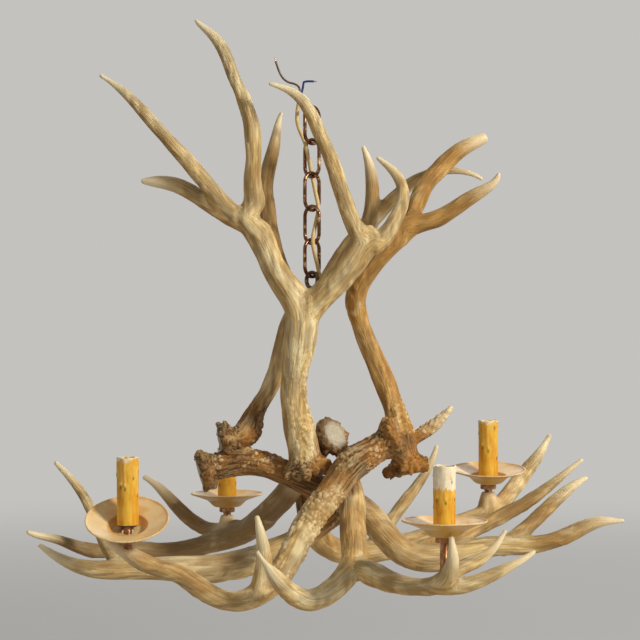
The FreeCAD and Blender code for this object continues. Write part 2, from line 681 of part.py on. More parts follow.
def candle_light(name, facts):
    """The pieces of one light, all on the upright axis of its threaded tube."""
    foot = placed(facts["foot"])
    lean = facts["lean"]
    slope = math.tan(math.radians(lean))
    floor = foot + Vector(0, 0, facts["rise"] - size("pan_depth"))
    tilt = Rotation(Vector(1, 0, 0), lean)

    # a leaning pan turns about the middle of its floor, so its hole is that much wider
    wider = f"({TUBE} + Sizes.fit + Sizes.pan_wall * tan({lean} deg)) / cos({lean} deg)"
    pan = revolved(f"pan_{name}_body", pan_outline(wider))
    up = tilt.multVec(Vector(0, 0, size("pan_depth")))
    pan.Placement = Placement(floor + up, tilt)
    sub_part(pan, f"pan_{name}")

    lift = size("socket_diameter") / 2 * slope
    seat = floor + Vector(0, 0, lift)
    socket = revolved(
        f"socket_{name}_body",
        [
            ("0", f"Sizes.tube_reach + {TUBE_GAP}"),
            (f"{TUBE} + Sizes.fit", f"Sizes.tube_reach + {TUBE_GAP}"),
            (f"{TUBE} + Sizes.fit", "0"),
            ("Sizes.socket_diameter / 2", "0"),
            ("Sizes.socket_diameter / 2", "Sizes.socket_height"),
            (f"{SHELL} + Sizes.fit", "Sizes.socket_height"),
            (f"{SHELL} + Sizes.fit", WELL_FLOOR),
            ("0", WELL_FLOOR),
        ],
    )
    socket.Placement = Placement(seat, Rotation())
    sub_part(socket, f"socket_{name}")

    shell_top = f"Sizes.socket_height - {SHELL_DROP}"
    shell = ring(
        f"shell_{name}_body",
        SHELL,
        "Sizes.shell_bore / 2",
        f"{shell_top} - Sizes.shell_length",
        shell_top,
    )
    shell.Placement = Placement(seat, Rotation())
    sub_part(shell, f"screw_shell_{name}")

    contact = primitive(
        "Cylinder",
        f"contact_{name}",
        Placement(seat + Vector(0, 0, size("socket_height") - size("socket_well")), Rotation()),
        Radius="Sizes.contact_diameter / 2",
        Height="Sizes.contact_height",
    )
    groups["centre_contacts"].append(contact)

    tube_top = f"{(seat - foot).Length:.3f} + Sizes.tube_reach"
    tube = ring(f"tube_{name}_body", TUBE, "Sizes.tube_bore / 2", "0", tube_top)
    tube.Placement = Placement(foot, Rotation())
    sub_part(tube, f"threaded_tube_{name}")

    for i, across in enumerate((-1, 1)):
        beside = Vector(across * size("lead_diameter") * LEAD_SPACING, 0, LEAD_FOOT)
        lead = primitive(
            "Cylinder",
            f"lead_{name}_{i}",
            Placement(foot + beside, Rotation()),
            Radius="Sizes.lead_diameter / 2",
            Height=f"{tube_top} - {LEAD_FOOT}",
        )
        groups["socket_leads"].append(lead)

    # the washer and nut sit under the pan
    nut_top = washer_top(facts) - Vector(0, 0, size("washer_height"))
    for what, top, kind, width in (
        ("washer", washer_top(facts), "Cylinder", {"Radius": "Sizes.washer_diameter / 2"}),
        ("nut", nut_top, "Prism", {"Circumradius": NUT}),
    ):
        height = f"Sizes.{what}_height"
        place = Placement(top - Vector(0, 0, size(f"{what}_height")), Rotation())
        blank = primitive(kind, f"{what}_{name}_blank", place, Height=height, **width)
        bore = primitive(
            "Cylinder", f"{what}_{name}_bore", place, Height=height, Radius=f"{TUBE} + Sizes.fit"
        )
        groups[f"pan_{what}s"].append(cut(f"{what}_{name}", blank, bore))

    rest = size("cover_diameter") / 2 * slope + size("light_fit")
    cover = ring(
        f"cover_{name}_body",
        "Sizes.cover_diameter / 2",
        "Sizes.cover_diameter / 2 - Sizes.cover_wall",
        "0",
        "Sizes.cover_length",
    )
    cover.Placement = Placement(floor + Vector(0, 0, rest), Rotation())
    sub_part(cover, f"candle_cover_{name}")


# ---------------------------------------------------------------- the whole object

for number in range(1, LINKS + 1):
    chain_link(number)
screw_eye()

antler_wholes = {}  # before they are drilled
for name in ANTLERS:
    sub_part(antler(name), f"antler_{name}")

for name, facts in LIGHTS.items():
    candle_light(name, facts)

pins = []
for i, pin in enumerate(PINS):
    start, end = (placed(p) for p in pin["ends"])
    body = primitive("Cylinder", f"pin_{i}", along(start, end), Radius="Sizes.pin_diameter / 2")
    body.Height = (end - start).Length
    pins.append(body)
groups["antler_pins"] = pins

for label, pieces in groups.items():
    group = doc.addObject("Part::Compound", f"{label}_group")
    group.Links = pieces
    sub_part(group, label)

cord_tube("supply_cord", cord_points(), size("cord_diameter"), 5 * size("cord_diameter"))
for label, route in (("brown_conductor", BROWN_CONDUCTOR), ("blue_conductor", BLUE_CONDUCTOR)):
    cord_tube(label, route, size("conductor_diameter"), 3 * size("conductor_diameter"))

# ---------------------------------------------------------------- checks and files

doc.recompute()
for obj in doc.Objects:
    if "Invalid" in obj.State or "Error" in obj.State:
        raise RuntimeError(f"{obj.Name} failed: {obj.State}")
for node in NODES:
    if node.Shape.isNull() or not node.Shape.isValid():
        raise RuntimeError(f"{node.Label} has no valid shape")

os.makedirs("parts", exist_ok=True)
mass_centre = Vector()
whole = 0
for node in NODES:
    node.Shape.exportStep(f"parts/{node.Label}.step")
    if node.Label.startswith("antler_"):
        for solid in node.Shape.Solids:
            mass_centre += solid.CenterOfMass * solid.Volume
            whole += solid.Volume
    box = node.Shape.BoundBox
    print(
        f"{node.Label}: {len(node.Shape.Solids)} solid(s), {node.Shape.Volume:.0f} mm3, "
        f"x {box.XMin:.0f}..{box.XMax:.0f}, y {box.YMin:.0f}..{box.YMax:.0f}, "
        f"z {box.ZMin:.0f}..{box.ZMax:.0f}"
    )
print("antlers' centre of mass:", mass_centre * (1 / whole))
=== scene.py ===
"""Looks of the antler chandelier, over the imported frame.

Metres, +Z up, -Y to the front. The origin is the hang point, inside the top link.
"""
import heapq
import math
import random

import bpy
import numpy as np
from mathutils import Matrix, Vector, noise


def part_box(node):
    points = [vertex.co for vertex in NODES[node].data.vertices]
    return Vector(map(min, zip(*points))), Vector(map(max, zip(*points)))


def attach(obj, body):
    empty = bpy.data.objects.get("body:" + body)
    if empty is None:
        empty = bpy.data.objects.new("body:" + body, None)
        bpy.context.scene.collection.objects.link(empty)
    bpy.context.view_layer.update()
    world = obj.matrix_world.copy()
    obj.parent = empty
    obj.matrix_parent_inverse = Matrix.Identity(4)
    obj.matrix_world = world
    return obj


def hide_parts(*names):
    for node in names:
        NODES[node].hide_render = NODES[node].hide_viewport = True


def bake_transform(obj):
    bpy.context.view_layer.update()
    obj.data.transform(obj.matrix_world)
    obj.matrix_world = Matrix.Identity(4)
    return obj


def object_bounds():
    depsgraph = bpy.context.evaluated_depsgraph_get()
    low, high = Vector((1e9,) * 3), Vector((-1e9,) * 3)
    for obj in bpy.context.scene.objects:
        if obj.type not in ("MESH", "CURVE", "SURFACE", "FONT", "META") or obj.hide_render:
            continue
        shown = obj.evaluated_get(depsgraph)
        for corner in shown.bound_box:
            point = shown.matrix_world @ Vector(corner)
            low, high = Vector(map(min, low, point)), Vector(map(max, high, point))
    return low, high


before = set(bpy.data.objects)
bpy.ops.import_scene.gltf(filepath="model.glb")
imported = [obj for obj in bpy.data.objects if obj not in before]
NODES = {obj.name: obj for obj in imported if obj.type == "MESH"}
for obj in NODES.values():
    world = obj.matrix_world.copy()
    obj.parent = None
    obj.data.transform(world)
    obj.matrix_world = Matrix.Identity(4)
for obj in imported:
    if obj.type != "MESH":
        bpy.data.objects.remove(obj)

MM = 0.001
CAD_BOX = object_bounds()

# ---------------------------------------------------------------- camera, floor and light

PHOTO_WIDTH = 640  # pixels
FOCAL_LENGTH = 1818  # pixels
SENSOR_WIDTH = 36.0  # millimetres
CAMERA_PLACE = (0.0088, -2.0, -0.233)
FLOOR_DROP = 0.30  # below the lowest tine
FLOOR_SIZE = 30.0
PALE = (0.62, 0.61, 0.595)
BACKDROP = (0.55, 0.54, 0.52)
AMBIENT = 0.27
FLOOR_NEAR = 0.9  # metres from the axis: up to here the floor shows only its own light
FLOOR_FAR = 4.5  # from here on it is as bright as the backdrop


def add_camera():
    """A level camera in front, framed as the photograph is."""
    data = bpy.data.cameras.new("camera")
    data.sensor_width = SENSOR_WIDTH
    data.lens = FOCAL_LENGTH / PHOTO_WIDTH * SENSOR_WIDTH
    camera = bpy.data.objects.new("camera", data)
    camera.location = CAMERA_PLACE
    camera.rotation_euler = (math.radians(90), 0, 0)
    bpy.context.scene.collection.objects.link(camera)
    bpy.context.scene.camera = camera


def add_lamp(name, place, size, power, tint=(1, 1, 1)):
    """A square soft lamp that faces the middle of the object."""
    data = bpy.data.lights.new(name, "AREA")
    data.size = size
    data.energy = power
    data.color = tint
    lamp = bpy.data.objects.new(name, data)
    lamp.location = place
    middle = (CAD_BOX[0] + CAD_BOX[1]) / 2
    lamp.rotation_euler = (middle - Vector(place)).to_track_quat("-Z", "Y").to_euler()
    bpy.context.scene.collection.objects.link(lamp)


def add_floor():
    """A plain pale floor under the hanging object."""
    half = FLOOR_SIZE / 2
    height = CAD_BOX[0].z - FLOOR_DROP
    mesh = bpy.data.meshes.new("floor")
    corners = [(-half, -half), (half, -half), (half, half), (-half, half)]
    mesh.from_pydata([(x, y, height) for x, y in corners], [], [(0, 1, 2, 3)])
    floor = bpy.data.objects.new("floor", mesh)
    bpy.context.scene.collection.objects.link(floor)
    skin = Skin("floor_paint", Base_Color=PALE, Roughness=0.9)
    away = skin.add("VectorMath", {0: skin.place()}, "Value", operation="LENGTH")
    seen = skin.add("LightPath", {}, "Is Camera Ray")
    far = skin.product(seen, skin.ramp(away, FLOOR_NEAR, FLOOR_FAR))
    glow = skin.add("Emission", {"Color": BACKDROP})
    output = skin.tree.nodes["Material Output"]
    skin.feed(output, {"Surface": skin.add("MixShader", {0: far, 1: skin.shader.outputs[0], 2: glow})})
    mesh.materials.append(skin.material)


def add_world():
    """Soft light from all round; the camera and glossy rays see the pale backdrop."""
    world = bpy.data.worlds.new("studio")
    bpy.context.scene.world = world
    world.use_nodes = True
    nodes = world.node_tree.nodes
    links = world.node_tree.links
    backdrop = nodes["Background"]
    backdrop.inputs["Color"].default_value = (*BACKDROP, 1)
    backdrop.inputs["Strength"].default_value = 1.0
    ambient = nodes.new("ShaderNodeBackground")
    ambient.inputs["Color"].default_value = (1, 1, 1, 1)
    ambient.inputs["Strength"].default_value = AMBIENT
    path = nodes.new("ShaderNodeLightPath")
    seen = nodes.new("ShaderNodeMath")
    seen.operation = "MAXIMUM"
    links.new(path.outputs["Is Camera Ray"], seen.inputs[0])
    links.new(path.outputs["Is Glossy Ray"], seen.inputs[1])
    mixed = nodes.new("ShaderNodeMixShader")
    links.new(seen.outputs[0], mixed.inputs[0])
    links.new(ambient.outputs[0], mixed.inputs[1])
    links.new(backdrop.outputs[0], mixed.inputs[2])
    links.new(mixed.outputs[0], nodes["World Output"].inputs["Surface"])


def add_studio():
    """The whole setting."""
    add_camera()
    add_floor()
    add_world()
    add_lamp("key", (2.2, -1.6, 1.15), 0.5, 88, (1.0, 0.96, 0.88))
    add_lamp("fill", (-2.4, -1.8, 0.1), 2.4, 5, (0.97, 0.98, 1.0))
    add_lamp("rim", (0.6, 2.4, 1.2), 1.6, 10)
    bpy.context.scene.view_settings.view_transform = "Standard"


# ---------------------------------------------------------------- shader helpers


class Skin:
    """A Principled material, built up by short calls that each return an output socket."""

    def __init__(self, name, **sockets):
        self.material = bpy.data.materials.new(name)
        self.material.use_nodes = True
        self.tree = self.material.node_tree
        self.shader = self.tree.nodes["Principled BSDF"]
        self.feed(self.shader, {key.replace("_", " "): v for key, v in sockets.items()})

    def feed(self, node, values):
        """Sets or links a node's inputs."""
        for key, value in values.items():
            if isinstance(value, bpy.types.NodeSocket):
                self.tree.links.new(value, node.inputs[key])
            elif isinstance(value, tuple) and len(value) == 3 and node.inputs[key].type == "RGBA":
                node.inputs[key].default_value = (*value, 1)
            else:
                node.inputs[key].default_value = value

    def add(self, kind, inputs, output=0, **settings):
        """Any node by its kind."""
        node = self.tree.nodes.new(f"ShaderNode{kind}")
        for key, value in settings.items():
            setattr(node, key, value)
        self.feed(node, inputs)
        return node.outputs[output]

    def place(self):
        """The point in the object's own frame."""
        return self.add("TexCoord", {}, "Object")

    def number(self, name):
        """A number stored on the mesh's points."""
        return self.add("Attribute", {}, "Fac", attribute_name=name)

    def vector(self, name):
        """A vector stored on the mesh's points."""
        return self.add("Attribute", {}, "Vector", attribute_name=name)

    def noise(self, size, detail=4.0, where=None, rough=0.55, twist=0.0):
        """Smooth noise with features of about that size in metres."""
        where = where or self.place()
        inputs = {"Vector": where, "Scale": 1 / size, "Detail": detail,
                  "Roughness": rough, "Distortion": twist}
        return self.add("TexNoise", inputs)

    def streaks(self, around, length, detail=4.0):
        """Noise drawn out along a branch: its point round the branch, and its way along."""
        along = self.math("DIVIDE", self.number("along"), length * around)
        inputs = {"Vector": self.vector("round"), "W": along, "Scale": around,
                  "Detail": detail, "Roughness": 0.6}
        return self.add("TexNoise", inputs, noise_dimensions="4D")

    def cells(self, size, feature="F1", where=None):
        """Distance from the middle, or the edge, of random cells of about that size."""
        inputs = {"Vector": where or self.place(), "Scale": 1 / size}
        return self.add("TexVoronoi", inputs, "Distance", feature=feature)

    def ramp(self, value, low, high, start=0.0, end=1.0):
        """The value between low and high, spread smoothly from start to end."""
        inputs = {"Value": value, "From Min": low, "From Max": high,
                  "To Min": start, "To Max": end}
        return self.add("MapRange", inputs, interpolation_type="SMOOTHSTEP")

    def math(self, operation, first, second=0.0):
        """Two numbers together."""
        return self.add("Math", {0: first, 1: second}, operation=operation)

    def product(self, *values):
        """All of the numbers multiplied."""
        total = values[0]
        for value in values[1:]:
            total = self.math("MULTIPLY", total, value)
        return total

    def most(self, *values):
        """The largest of the numbers."""
        total = values[0]
        for value in values[1:]:
            total = self.math("MAXIMUM", total, value)
        return total

    def blend(self, share, under, over, mode="MIX"):
        """One colour over another."""
        node = self.tree.nodes.new("ShaderNodeMix")
        node.data_type = "RGBA"
        node.blend_type = mode
        colours = [s for s in node.inputs if s.type == "RGBA"]
        self.feed(node, {0: share})
        for socket, value in zip(colours, (under, over)):
            if isinstance(value, bpy.types.NodeSocket):
                self.tree.links.new(value, socket)
            else:
                socket.default_value = (*value, 1)
        return next(s for s in node.outputs if s.type == "RGBA")

    def finish(self, colour, roughness, *bumps):
        """Joins the colour, the roughness and the bumps, each (height, depth in metres)."""
        self.feed(self.shader, {"Base Color": colour, "Roughness": roughness})
        normal = None
        for height, depth in bumps:
            inputs = {"Height": height, "Distance": depth, "Strength": 1.0}
            if normal is not None:
                inputs["Normal"] = normal
            normal = self.add("Bump", inputs)
        if normal is not None:
            self.tree.links.new(normal, self.shader.inputs["Normal"])
        return self.material


# ---------------------------------------------------------------- meshes as arrays


def read(items, field, width):
    """One field of a mesh's points or edges as an array."""
    kind = np.int32 if field == "vertices" else np.float32
    values = np.empty(len(items) * width, kind)
    items.foreach_get(field, values)
    return values.reshape(-1, width) if width > 1 else values


def smooth_step(values, low, high):
    """0 below low, 1 above high, and a smooth rise between."""
    share = np.clip((values - low) / (high - low), 0, 1)
    return share * share * (3 - 2 * share)


def unit(vectors):
    """Each row at length 1."""
    return vectors / np.maximum(np.linalg.norm(vectors, axis=-1, keepdims=True), 1e-9)


class Surface:
    """A mesh's points with their neighbours, so that whole fields can be worked on."""

    def __init__(self, mesh):
        self.mesh = mesh
        self.points = read(mesh.vertices, "co", 3).astype(float)
        self.count = len(self.points)
        edges = read(mesh.edges, "vertices", 2)
        pairs = np.vstack([edges, edges[:, ::-1]])
        pairs = pairs[np.argsort(pairs[:, 0], kind="stable")]
        self.degree = np.bincount(pairs[:, 0], minlength=self.count)
        first = np.concatenate(([0], np.cumsum(self.degree)[:-1]))
        column = np.arange(len(pairs)) - first[pairs[:, 0]]
        # rows with fewer neighbours than the widest are filled up with the point itself
        own = np.arange(self.count)[:, None]
        self.table = np.repeat(own, self.degree.max(), axis=1)
        self.table[pairs[:, 0], column] = pairs[:, 1]
        self.real = self.table != own

    def normals(self):
        """The mesh's normals for the points as they are now."""
        self.mesh.vertices.foreach_set("co", self.points.astype(np.float32).ravel())
        self.mesh.update()
        return read(self.mesh.vertex_normals, "vector", 3).astype(float)

    def mean(self, values):
        """The mean of each point's neighbours."""
        spare = self.table.shape[1] - self.degree
        if values.ndim > 1:
            total = values[self.table].sum(axis=1) - spare[:, None] * values
            return total / np.maximum(self.degree, 1)[:, None]
        return (values[self.table].sum(axis=1) - spare * values) / np.maximum(self.degree, 1)

    def smoothed(self, values, rounds):
        """A field averaged over and over."""
        for _ in range(rounds):
            values = (values + self.mean(values)) / 2
        return values

    def way_from(self, seeds):
        """The way along the surface from the nearest seed."""
        steps = np.linalg.norm(self.points[self.table] - self.points[:, None], axis=2).tolist()
        table = self.table.tolist()
        found = [math.inf] * self.count
        for seed in seeds:
            found[seed] = 0.0
        queue = [(0.0, int(seed)) for seed in seeds]
        while queue:
            way, point = heapq.heappop(queue)
            if way > found[point]:
                continue
            for other, step in zip(table[point], steps[point]):
                if way + step < found[other]:
                    found[other] = way + step
                    heapq.heappush(queue, (way + step, other))
        found = np.array(found)
        return np.where(np.isfinite(found), found, found[np.isfinite(found)].max())

    def uphill(self, values):
        """The direction in which a field grows, along the surface."""
        edges = self.points[self.table] - self.points[:, None]
        rise = values[self.table] - values[:, None]
        return unit(self.smoothed(unit((edges * rise[..., None]).sum(axis=1)), 8))

    def drawn_out(self, values, direction, rounds):
        """A field averaged along one direction only, which turns noise into grooves."""
        edges = unit(self.points[self.table] - self.points[:, None])
        share = np.abs((edges * direction[:, None]).sum(axis=2)) ** 4 * self.real
        share /= np.maximum(share.sum(axis=1, keepdims=True), 1e-9)
        for _ in range(rounds):
            values = (values + (values[self.table] * share).sum(axis=1)) / 2
        return values

    def fill_creases(self, rounds, where):
        """Rounds out hollow corners: a point only ever moves outwards."""
        for _ in range(rounds):
            normals = self.normals()
            step = ((self.mean(self.points) - self.points) * normals).sum(axis=1)
            self.points += normals * (np.clip(step, 0, None) * where)[:, None]

    def field(self, function, size):
        """A noise function at every point, for features of that size."""
        return np.array([function(Vector(p)) for p in self.points / size])

    def store(self, name, values):
        """Keeps a field on the mesh for its material."""
        kind = "FLOAT_VECTOR" if values.ndim > 1 else "FLOAT"
        attribute = self.mesh.attributes.new(name, kind, "POINT")
        key = "vector" if values.ndim > 1 else "value"
        attribute.data.foreach_set(key, values.astype(np.float32).ravel())


def bumps(point):
    """A rounded bump in each random cell: 1 in the middle and 0 at its edge."""
    near, next_near = noise.voronoi(point)[0][:2]
    share = min(max((next_near - near) / 0.45, 0), 1)
    return share * share * (3 - 2 * share)


def even_copy(node, voxel):
    """A closed copy of a CAD node with points all over at one spacing."""
    mesh = NODES[node].data.copy()
    look = bpy.data.objects.new(node.replace("antler_", "antler_look_"), mesh)
    bpy.context.scene.collection.objects.link(look)
    weld = look.modifiers.new("weld", "WELD")
    weld.merge_threshold = 0.01 * MM
    even = look.modifiers.new("even", "REMESH")
    even.mode = "VOXEL"
    even.voxel_size = voxel
    even.adaptivity = 0
    graph = bpy.context.evaluated_depsgraph_get()
    look.data = bpy.data.meshes.new_from_object(look.evaluated_get(graph))
    look.modifiers.clear()
    look.data.materials.clear()
    return look


# ---------------------------------------------------------------- antlers

VOXEL = 1.8 * MM
KNOB_SIZE = 9 * MM
PEARL_SIZE = 5.5 * MM
GROOVE_SIZE = 4.5 * MM
SHORTEST_TINE = 45 * MM

PEARL_SIDE = (0.66, -0.28, 0.70)  # the pearls are higher on this side
SHADED_SIDE = (-0.45, 0.25, -0.86)  # painted shade: the side that faces away from the key lamp is darker amber
BURRS = ("right_beam", "left_beam", "front_beam", "front_crown", "left_crown", "right_crown")

# For each antler: its foot, and how far the brown stain and the pearls reach from there, in
# millimetres; and how much of the whole is darker brown (in its grooves partly painted shade),
# and warm amber (which also deepens the painted amber shade away from the key lamp), from 0 to 1
ANTLERS = {
    "right_beam": {"foot": (-124, -8, -400), "stain": 240, "pearls": 150, "dark": 0.4, "warm": 0.45},
    "left_beam": {"foot": (26, 2, -359), "stain": 150, "pearls": 90, "dark": 0.85, "warm": 0.15},
    "low_left_beam": {"foot": (49, 44, -422), "stain": 90, "pearls": 60, "dark": 0.35, "warm": 0.15},
    "back_right_beam": {"foot": (-7, 72, -402), "stain": 60, "pearls": 60, "dark": 0.2, "warm": 0.4},
    "front_beam": {"foot": (93, -28, -361), "stain": 170, "pearls": 330, "dark": 0.3, "warm": 0.45},
    "front_right_beam": {"foot": (36, -14, -388), "stain": 30, "pearls": 30, "dark": 0.12, "warm": 0.35},
    "front_crown": {"foot": (-4, -14, -404), "stain": 40, "pearls": 190, "dark": 0.3, "warm": 0.2},
    "left_crown": {"foot": (-102, 2, -368), "stain": 110, "pearls": 90, "dark": 0.45, "warm": 0.45},
    "right_crown": {"foot": (107, 1, -403), "stain": 70, "pearls": 150, "dark": 0.25, "warm": 0.9},
}


def antler_skin(name, dark, warm):
    """Weathered antler: ivory and tan along the grain, brown in its grooves (partly painted shade) and
    stains, with painted amber shade on the side away from the key lamp.
    """
    skin = Skin(f"antler_{name}", Specular_IOR_Level=0.3)
    broad = skin.ramp(skin.streaks(1.5, 0.07, 4), 0.40, 0.62)
    grain = skin.ramp(skin.streaks(7.0, 0.035, 3), 0.42, 0.66)
    threads = skin.ramp(skin.streaks(18.0, 0.02, 2), 0.38, 0.66)
    cloud = skin.noise(0.035, 5)
    drift = skin.noise(0.075, 3)
    dent = skin.number("dent")
    stain = skin.number("stain")
    tip = skin.number("tip")
    sawn = skin.number("sawn")
    under = skin.number("under")

    colour = skin.blend(broad, (0.88, 0.73, 0.42), (0.78, 0.55, 0.22))
    patch = skin.ramp(skin.math("ADD", drift, warm * 0.3), 0.50, 0.74)
    # random amber patches, and painted shade: the side away from the key lamp turns amber brown
    patch = skin.most(skin.product(patch, 0.35 + 0.5 * warm), skin.product(under, 0.65 + 0.3 * warm))
    colour = skin.blend(patch, colour, skin.blend(broad, (0.62, 0.31, 0.04), (0.40, 0.16, 0.014)))
    colour = skin.blend(skin.product(grain, 0.42), colour, (0.42, 0.22, 0.045))
    colour = skin.blend(skin.product(threads, 0.5), colour, (1.25, 1.28, 1.32), "MULTIPLY")
    # darker brown in the grooves, partly the antler's own brown and partly painted shade in the creases;
    # darker clouds at random
    hollow = skin.ramp(dent, -0.35, 0.45)
    aged = skin.ramp(skin.math("ADD", skin.blend(0.5, cloud, drift), dark * 0.34), 0.54, 0.74)
    shade = skin.most(
        skin.product(skin.math("SUBTRACT", 1.0, hollow), 0.40 + 0.4 * dark),
        skin.product(aged, 0.25 + 0.6 * dark),
    )
    shade = skin.product(shade, skin.math("SUBTRACT", 1.0, skin.product(tip, 0.85)))
    colour = skin.blend(shade, colour, (0.18, 0.088, 0.022))
    heavy = skin.product(stain, skin.ramp(skin.math("ADD", cloud, grain), 0.55, 1.15, 0.6, 1.0))
    brown = skin.blend(skin.ramp(cloud, 0.35, 0.65), (0.085, 0.030, 0.006), (0.42, 0.17, 0.025))
    colour = skin.blend(heavy, colour, brown)
    worn = skin.product(skin.ramp(dent, 0.45, 1.0), 0.65, skin.ramp(cloud, 0.33, 0.6))
    colour = skin.blend(worn, colour, (0.86, 0.68, 0.38))
    colour = skin.blend(skin.product(tip, 0.7), colour, (0.88, 0.76, 0.50))

    pores = skin.ramp(skin.cells(1.1 * MM), 0.1, 0.45)
    core = skin.blend(skin.noise(6 * MM, 3), (0.42, 0.36, 0.26), (0.66, 0.58, 0.43))
    core = skin.blend(skin.product(skin.math("SUBTRACT", 1.0, pores), 0.5), core, (0.24, 0.18, 0.11))
    colour = skin.blend(sawn, colour, core)

    rough = skin.ramp(tip, 0.0, 1.0, 0.58, 0.34)
    rough = skin.math("ADD", rough, skin.product(skin.math("SUBTRACT", cloud, 0.5), 0.25))
    fine = skin.math("ADD", skin.product(grain, 0.75), skin.product(threads, 0.25))
    fine = skin.product(fine, skin.math("SUBTRACT", 1.0, skin.product(tip, 0.85)))
    pits = skin.product(skin.ramp(skin.cells(2.4 * MM), 0.0, 0.35), stain)
    return skin.finish(colour, rough, (fine, 0.7 * MM), (pits, 0.8 * MM))


def antler_look(name, facts):
    """The antler with its grooves, pearls, burr and rounded forks."""
    look = even_copy(f"antler_{name}", VOXEL)
    surface = Surface(look.data)
    foot = Vector(facts["foot"]) * MM
    from_foot = np.linalg.norm(surface.points - np.array(foot), axis=1)
    normals = surface.normals()
    middle = normals[from_foot < 6 * MM]
    out = unit(middle.mean(axis=0)) if len(middle) else np.array((0, 0, 1.0))
    flat = (normals @ out > 0.9) & (from_foot < 24 * MM)
    seeds = np.flatnonzero(flat) if flat.any() else [int(from_foot.argmin())]
    way = surface.way_from(seeds)
    sawn = surface.smoothed(flat.astype(float), 2)

    surface.fill_creases(45, smooth_step(way, 22 * MM, 40 * MM))
    surface.points = surface.smoothed(surface.points, 2)
    axis = surface.uphill(surface.smoothed(way, 6))
    around = surface.smoothed(surface.normals(), 10)
    around = unit(around - axis * (around * axis).sum(axis=1, keepdims=True))

    highest = way.copy()
    for _ in range(12):
        highest = highest[surface.table].max(axis=1)
    tips = np.flatnonzero((highest <= way + 1e-9) & (way > SHORTEST_TINE))
    tip_way = surface.way_from(tips)
    tip = 1 - smooth_step(tip_way, 6 * MM, 60 * MM)
    rough = smooth_step(tip_way, 15 * MM, 110 * MM)

    grooves = surface.drawn_out(surface.field(noise.noise, GROOVE_SIZE), axis, 40)
    grooves = np.clip(grooves / grooves.std(), -2.2, 2.2) / 2.2
    broad = surface.drawn_out(surface.field(noise.noise, 14 * MM), axis, 60)
    broad = np.clip(broad / broad.std(), -2, 2) / 2
    swell = surface.field(noise.noise, 38 * MM)
    patch = surface.field(noise.noise, 30 * MM)

    pearls = surface.field(bumps, PEARL_SIZE)
    reach = facts["pearls"] * MM
    pearls *= 1 - smooth_step(way + 40 * MM * patch, 0.45 * reach, reach)
    pearls *= smooth_step(patch + 0.35, 0.0, 0.3)
    pearls *= smooth_step(normals @ np.array(PEARL_SIDE), -0.6, 0.5)
    ring = knobs = np.zeros(surface.count)
    if name in BURRS:
        ring = smooth_step(way + 3 * MM * patch, 0.5 * MM, 4 * MM)
        ring *= 1 - smooth_step(way + 14 * MM * patch, 10 * MM, 24 * MM)
        uneven = np.clip(0.85 + 1.3 * surface.field(noise.noise, 13 * MM), 0.35, 1.4)
        knobs = ring * uneven * surface.field(bumps, KNOB_SIZE)
        knobs = 4.6 * knobs + 1.5 * ring * surface.field(bumps, PEARL_SIZE)
        pearls *= 1 - 0.8 * ring
    lift = (0.65 * grooves + 0.45 * broad + 0.9 * swell) * rough + 2.1 * pearls + knobs
    lift *= 1 - sawn
    surface.points += surface.normals() * (lift * MM)[:, None]
    surface.points = np.clip(surface.points, *(np.array(corner) for corner in CAD_BOX))

    reach = facts["stain"] * MM
    stain = 1 - smooth_step(way + 45 * MM * patch, 0.5 * reach, reach)
    surface.store("along", surface.smoothed(way, 8))
    surface.store("round", around)
    surface.store("tip", tip)
    surface.store("stain", np.maximum(stain * (1 - tip), 0.95 * ring))
    # painted shade: how far each point faces away from the key lamp
    facing = surface.normals() @ np.array(SHADED_SIDE)
    surface.store("under", smooth_step(facing, -0.1, 0.9))
    surface.store("sawn", sawn)
    surface.store("dent", np.clip(0.6 * grooves + 0.3 * broad, -1, 1) + 1.1 * pearls)
    surface.normals()
    look.data.polygons.foreach_set("use_smooth", np.ones(len(look.data.polygons), bool))
    look.data.materials.append(antler_skin(name, facts["dark"], facts["warm"]))
    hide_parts(f"antler_{name}")
    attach(look, "fixture")
    return look


# ---------------------------------------------------------------- turned and swept meshes


def rounded(outline, rounds=2):
    """A closed outline with its corners cut again and again."""
    points = [Vector((*pair, 0)) for pair in outline]
    for _ in range(rounds):
        pairs = zip(points, points[1:] + points[:1])
        points = [q for a, b in pairs for q in (a.lerp(b, 0.25), a.lerp(b, 0.75))]
    return [(p.x, p.y) for p in points]


def grid_object(name, rings, closed=True, body="fixture", node=None):
    """A mesh from rings of points, each ring joined to the next (and the last to the first)."""
    count, sides = rings.shape[:2]
    ring = np.arange(count if closed else count - 1)[:, None]
    side = np.arange(sides)[None, :]
    after, beside = (ring + 1) % count, (side + 1) % sides
    corners = (ring * sides + side, ring * sides + beside, after * sides + beside, after * sides + side)
    quads = np.stack(corners, axis=-1)
    faces = [tuple(int(i) for i in quad) for quad in quads.reshape(-1, 4)]
    if not closed:
        faces += [tuple(range(sides))[::-1], tuple(range((count - 1) * sides, count * sides))]
    mesh = bpy.data.meshes.new(name)
    mesh.from_pydata(rings.reshape(-1, 3).tolist(), [], faces)
    if volume_of(mesh) < 0:
        mesh.flip_normals()
    mesh.polygons.foreach_set("use_smooth", np.ones(len(mesh.polygons), bool))
    mesh.update()
    piece = bpy.data.objects.new(name, mesh)
    bpy.context.scene.collection.objects.link(piece)
    if body:
        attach(piece, body)
    if node:
        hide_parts(node)
    return piece


def volume_of(mesh):
    """The signed volume inside a closed mesh: below zero if its faces look inwards."""
    mesh.calc_loop_triangles()
    points = read(mesh.vertices, "co", 3).astype(float)
    corners = np.array([t.vertices[:] for t in mesh.loop_triangles])
    a, b, c = (points[corners[:, i]] for i in range(3))
    return (a * np.cross(b, c)).sum() / 6


